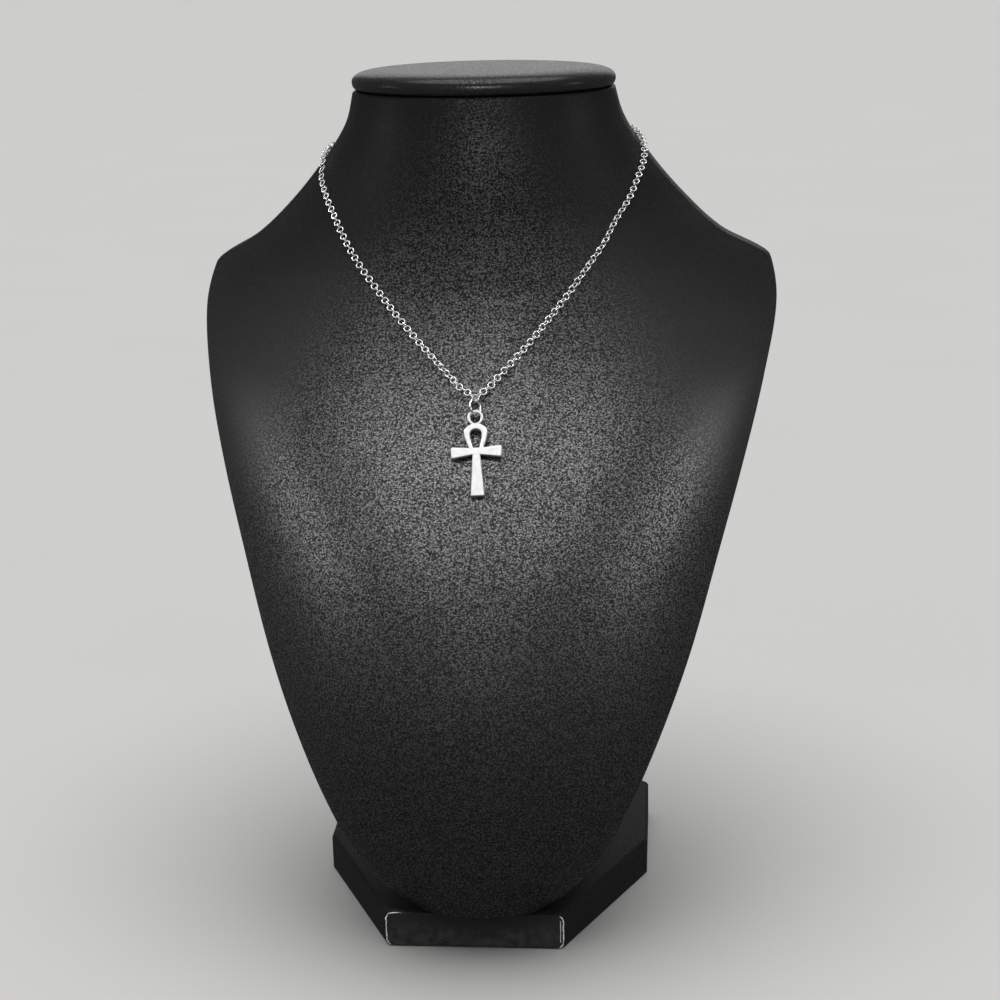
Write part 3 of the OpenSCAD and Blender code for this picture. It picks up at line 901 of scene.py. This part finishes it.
def chain_links():
    """Round links along the route, each turned a quarter from the last and a little askew."""
    line, along, low_at = hung_route()
    end, end_gap, look = along[-1], 0.3, 0.8
    flat_links, turning_links, slow_turn, askew = 5, 12, 45, 7
    rng = random.Random(11)

    def at(s):
        return np.array([np.interp(s, along, line[:, k]) for k in range(3)])

    before, after = round(low_at / LINK_PITCH), round((end - low_at) / LINK_PITCH)
    links = []
    for i in range(-before, after + 1):
        s = low_at + (i * low_at / before if i < 0 else i * (end - low_at) / after)
        s = min(max(s, end_gap), end - end_gap)
        mid = at(s)
        way = unit(at(min(s + look, end)) - at(max(s - look, 0)))
        from_neck = unit(mid - (0, NECK_Y, mid[2]))
        if abs(i) <= flat_links:
            from_neck = CHEST_OUT
        outward = unit(from_neck - way * (from_neck @ way))
        across = np.cross(way, outward)
        twist = slow_turn * min(max((-i - flat_links) / turning_links, 0), 1)
        twist += 90 if i % 2 else 0
        twist += rng.uniform(-askew, askew) if abs(i) > 1 else 0
        twist = math.radians(twist)
        links.append(
            round_link(mid, way, math.cos(twist) * outward + math.sin(twist) * across)
        )
    points, faces = merged_shapes(links)
    piece = make_piece("chain_links", points, faces, CHAIN_SILVER, crease=80)
    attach(piece, "display")
    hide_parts("chain")


def jump_ring_wire():
    """The bent ring, with the hairline cut where its two ends meet."""
    cut_at, cut, count, sides = 205, 1.3, 96, 18
    turn = math.radians(RING_TURN)
    side = math.cos(turn) * np.array([1.0, 0, 0]) + math.sin(turn) * CHEST_OUT * -1
    face = np.cross(side, CHEST_UP)
    rings = []
    tube = even_turns(sides)
    angles = np.radians(np.linspace(cut_at + cut, cut_at + 360 - cut, count))
    pinch = np.concatenate([[0.86, 0.97], np.ones(count - 4), [0.97, 0.86]])
    for a, full in zip(angles, pinch):
        out = math.cos(a) * side + math.sin(a) * CHEST_UP
        rings.append(
            RING_MID
            + RING_MEAN_R * out
            + full * RING_WIRE / 2 * (np.outer(np.cos(tube), out) - np.outer(np.sin(tube), face))
        )
    piece = make_piece(
        "jump_ring_wire", np.array(rings), ring_faces(count, sides), CHAIN_SILVER, crease=50
    )
    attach(piece, "display")
    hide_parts("jump_ring")


def barrel_clasp():
    """A turned barrel with a collar and a socket at each end."""
    half, r = CLASP_L / 2, CLASP_D / 2
    floor_at, socket_r = half - SOCKET_DEPTH - SEAT_GAP, CHAIN_D / 2 + SEAT_GAP
    profile = [
        (floor_at, socket_r - 0.5), (floor_at, socket_r),
        (half - 0.15, socket_r), (half, socket_r + 0.12), (half, r - 0.22),
        (half - 0.12, r - 0.06), (half - 0.3, r), (half - 1.0, r), (half - 1.15, r - 0.1),
        (half - 1.3, r - 0.26), (half - 1.5, r - 0.26), (half - 1.65, r - 0.1),
        (half - 1.8, r - 0.04), (0.25, r - 0.02), (0.1, r - 0.16), (0, r - 0.2),
    ]
    profile += [(-x, radius) for x, radius in reversed(profile[:-1])]
    sides = 64
    turns = even_turns(sides)
    rings = np.array(
        [
            CLASP_MID
            + np.column_stack(
                [np.full(sides, x), radius * np.cos(turns), radius * np.sin(turns)]
            )
            for x, radius in reversed(profile)
        ]
    )
    piece = make_piece(
        "barrel_clasp", rings, ring_faces(len(rings), sides), CHAIN_SILVER, crease=35
    )
    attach(piece, "display")
    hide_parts("clasp")


# Ankh


def ankh_outlines():
    """The plate's outline and its hole, each down the left side and up the right."""
    bar_l, bar_end_h, bar_mid_h, bar_rise = 16.9, 4, 2.5, 0.45
    bar_corner_r, foot_corner_r = 0.7, 0.5
    stem_top_w, stem_foot_w = 2.7, 4.6
    loop_h, loop_w, loop_foot_w, loop_crown, loop_band = 9.5, 7.8, 5, 2.8, 2
    hole_w, hole_foot_w, hole_crown = 3.9, 2.1, 1.9
    loop_top = -(EYELET_OD - EYELET_WIRE / 2 - EYELET_SINK)
    bar_y = loop_top - loop_h
    bar_top = bar_y + bar_mid_h / 2
    foot_y = -(ANKH_L - EYELET_WIRE / 2)
    end_top = bar_top + bar_rise

    def teardrop(half_w, foot_half, top, widest, low):
        crown = [
            (half_w * math.sin(a), widest + (top - widest) * math.cos(a))
            for a in np.radians(np.arange(0, 90, 7.5))
        ]
        taper = [
            (
                foot_half + (half_w - foot_half) * math.cos(s * math.pi / 2),
                widest + (low - widest) * s,
            )
            for s in np.linspace(0, 1, 19)
        ]
        return crown + taper

    def arc(x, y, r, start, end, steps=8):
        return [
            (x + r * math.cos(a), y + r * math.sin(a))
            for a in np.radians(np.linspace(start, end, steps))
        ]

    def both_sides(side):
        left = [(-x, y) for x, y in side if x > 1e-9]
        return np.array(left + list(reversed(side)))

    bar_end = bar_l / 2 - bar_corner_r
    outer = teardrop(loop_w / 2, loop_foot_w / 2, loop_top, loop_top - loop_crown, bar_top)
    outer += arc(bar_end, end_top - bar_corner_r, bar_corner_r, 90, 0)
    outer += arc(bar_end, end_top - bar_end_h + bar_corner_r, bar_corner_r, 0, -90)
    outer += [(stem_top_w / 2, bar_y - bar_mid_h / 2)]
    outer += arc(stem_foot_w / 2 - foot_corner_r, foot_y + foot_corner_r, foot_corner_r, 0, -90, 6)
    outer += [(0, foot_y)]
    hole_top = loop_top - loop_band
    hole = teardrop(hole_w / 2, hole_foot_w / 2, hole_top, hole_top - hole_crown, bar_top)
    hole += [(0, bar_top)]
    return both_sides(outer), both_sides(hole)


def drawn_in(points, inset):
    """A closed outline moved to its inner side, for a bevel."""
    before = points - np.roll(points, 1, axis=0)
    after = np.roll(points, -1, axis=0) - points
    before /= np.linalg.norm(before, axis=1)[:, None]
    after /= np.linalg.norm(after, axis=1)[:, None]
    normal = np.column_stack([-before[:, 1] - after[:, 1], before[:, 0] + after[:, 0]])
    normal /= np.linalg.norm(normal, axis=1)[:, None]
    lean = np.maximum(0.6, -normal[:, 0] * after[:, 1] + normal[:, 1] * after[:, 0])
    return points + normal * (inset / lean)[:, None]


def ankh_casting():
    """The plate with its bevelled edges and hole, cast in one with the eyelet."""
    bevel, back_bevel, half_t = 0.45, 0.2, ANKH_T / 2
    outer, hole = ankh_outlines()
    n, m = len(outer), len(hole)
    levels = [(-half_t, back_bevel)]
    levels += [
        (back_bevel * (1 - math.sin(a)) - half_t, back_bevel * (1 - math.cos(a)))
        for a in np.radians((60, 30, 0))
    ]
    levels += [
        (half_t - bevel * (1 - math.sin(a)), bevel * (1 - math.cos(a)))
        for a in np.radians((0, 12, 24, 36, 48, 60, 72, 84))
    ]
    levels.append((half_t, bevel + 0.03))
    rows = []
    for z, inset in levels:
        edge = np.vstack([drawn_in(outer, inset), drawn_in(hole, -inset)])
        rows.append(np.column_stack([edge, np.full(len(edge), z)]))
    total = n + m
    faces = []
    for level in range(len(levels) - 1):
        low, high = level * total, (level + 1) * total
        for i in range(n):
            j = (i + 1) % n
            faces.append((low + i, low + j, high + j, high + i))
        for i in range(m):
            j = (i + 1) % m
            faces.append((low + n + j, low + n + i, high + n + i, high + n + j))
    left = [n - 1] + list(range(n // 2)) + [n + i for i in range(m // 2 - 1, -1, -1)] + [n + m - 1]
    right = list(range(n // 2 - 1, n)) + [n + i for i in range(m - 1, m // 2 - 2, -1)]
    top = (len(levels) - 1) * total
    faces += [tuple(reversed(left)), tuple(reversed(right))]
    faces += [tuple(top + i for i in left), tuple(top + i for i in right)]
    mean = (EYELET_OD - EYELET_WIRE) / 2
    turns = even_turns(96)
    hoop = np.column_stack([mean * np.cos(turns), mean * np.sin(turns) - mean, 0 * turns])
    eyelet = swept_wire(hoop, EYELET_WIRE / 2, 20, looped=True)
    points, faces = merged_shapes([(np.vstack(rows), faces), eyelet])
    pose = Matrix.Rotation(math.radians(ANKH_PITCH), 3, "X") @ Matrix.Rotation(
        math.radians(ANKH_LEAN), 3, "Z"
    )
    points = points @ np.array(pose).T + EYELET_TOP
    piece = make_piece("ankh_casting", points, faces, ANKH_SILVER, crease=50)
    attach(piece, "ankh")
    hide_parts("ankh")


# Studio

SILVER_PIECES = {"chain_links", "jump_ring_wire", "barrel_clasp", "ankh_casting"}


def studio_floor():
    half = 15000
    corners = [(-half, -half, 0), (half, -half, 0), (half, half, 0), (-half, half, 0)]
    floor = make_piece("studio_floor", corners, [(0, 1, 2, 3)], floor_finish())
    floor.visible_glossy = False
    floor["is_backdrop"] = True


def softbox(name, azimuth, elevation, distance, size, watts, fan=180, aim_z=0.14):
    """A rectangular lamp aimed at the bust, its light held in by a grid of a given fan."""
    turn, rise = math.radians(azimuth), math.radians(elevation)
    way = Vector(
        (math.sin(turn) * math.cos(rise), -math.cos(turn) * math.cos(rise), math.sin(rise))
    )
    lamp = bpy.data.lights.new(name, "AREA")
    lamp.shape = "RECTANGLE"
    lamp.size, lamp.size_y = size
    lamp.energy = watts
    lamp.spread = math.radians(fan)
    holder = bpy.data.objects.new(name, lamp)
    holder.location = Vector((0, -0.02, aim_z)) + distance * way
    holder.rotation_euler = way.to_track_quat("Z", "Y").to_euler()
    bpy.context.scene.collection.objects.link(holder)
    return holder


def flagged(name, lamps, pieces):
    """Lamps whose light falls on the given pieces alone, as if held off the rest by flags."""
    lit = bpy.data.collections.new(name)
    for piece in pieces:
        lit.objects.link(piece)
    for lamp in lamps:
        lamp.light_linking.receiver_collection = lit


def overhead_glow(name, strength):
    """Even light from above, as from a large pale ceiling."""
    glow = bpy.data.lights.new(name, "SUN")
    glow.energy, glow.angle = strength, math.radians(60)
    holder = bpy.data.objects.new(name, glow)
    holder.location = (0, 0, 2)
    bpy.context.scene.collection.objects.link(holder)
    return holder


def studio_light():
    silver = [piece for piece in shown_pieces() if piece.name in SILVER_PIECES]
    leather_side = [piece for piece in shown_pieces() if piece.name not in SILVER_PIECES]
    gridded = [
        softbox("left_grid", -72, 15, 0.7, (0.6, 0.12), 0.1, 24, 0.128),
        softbox("left_top_grid", -40, 48, 0.6, (0.4, 0.09), 0.07, 18, 0.094),
        softbox("front_grid", -4, 61, 0.6, (0.5, 0.09), 0.12, 18, 0.082),
        softbox("right_top_grid", 36, 48, 0.6, (0.4, 0.09), 0.06, 18, 0.094),
        softbox("right_grid", 72, 15, 0.7, (0.6, 0.12), 0.12, 24, 0.126),
        softbox("neck_fill", 0, 14, 1.2, (0.9, 0.4), 0.15, 30, 0.25),
    ]
    flagged("leather_light", gridded, leather_side)
    broad = [
        softbox("front_softbox", -6, 44, 1.0, (0.9, 0.7), 2.1),
        softbox("left_softbox", -70, 30, 1.2, (0.7, 0.7), 3.0),
        softbox("right_softbox", 60, 30, 1.2, (0.7, 0.7), 2.4),
        softbox("left_spark", -95, 35, 1.0, (0.2, 0.2), 2.5),
        softbox("right_spark", 100, 40, 1.0, (0.2, 0.2), 2.5),
    ]
    flagged("silver_light", broad, silver)
    flagged("back_light", [softbox("back_panel", 180, 22, 1.5, (1.2, 0.8), 2.5)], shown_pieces())
    flagged("floor_light", [overhead_glow("floor_glow", 1.2)], [bpy.data.objects["studio_floor"]])
    overhead_glow("ceiling_glow", 1.2)
    world = bpy.data.worlds.new("soft_room")
    world.use_nodes = True
    world.node_tree.nodes["Background"].inputs["Color"].default_value = (1, 1, 1, 1)
    world.node_tree.nodes["Background"].inputs["Strength"].default_value = 0.13
    bpy.context.scene.world = world
    bpy.context.scene.view_settings.view_transform = "Standard"


def photo_camera():
    camera = bpy.data.cameras.new("photo_camera")
    camera.lens, camera.sensor_width = 72, 36
    camera.clip_start, camera.clip_end = 0.01, 20
    right = Vector((0.99641937, 0.08101321, -0.02419294))
    up = Vector((-0.00125383, 0.30027021, 0.95385336))
    ahead = Vector((-0.08453915, 0.95040763, -0.29929663))
    holder = bpy.data.objects.new("photo_camera", camera)
    turn = Matrix((right, up, -ahead)).transposed().to_4x4()
    holder.matrix_world = Matrix.Translation(Vector((0.066416, -0.682716, 0.362951))) @ turn
    bpy.context.scene.collection.objects.link(holder)
    bpy.context.scene.camera = holder


photo_camera()
studio_floor()
leather_bust()
neck_cap_leather()
plinth_board()
facing_panel()
chain_links()
jump_ring_wire()
barrel_clasp()
ankh_casting()
studio_light()
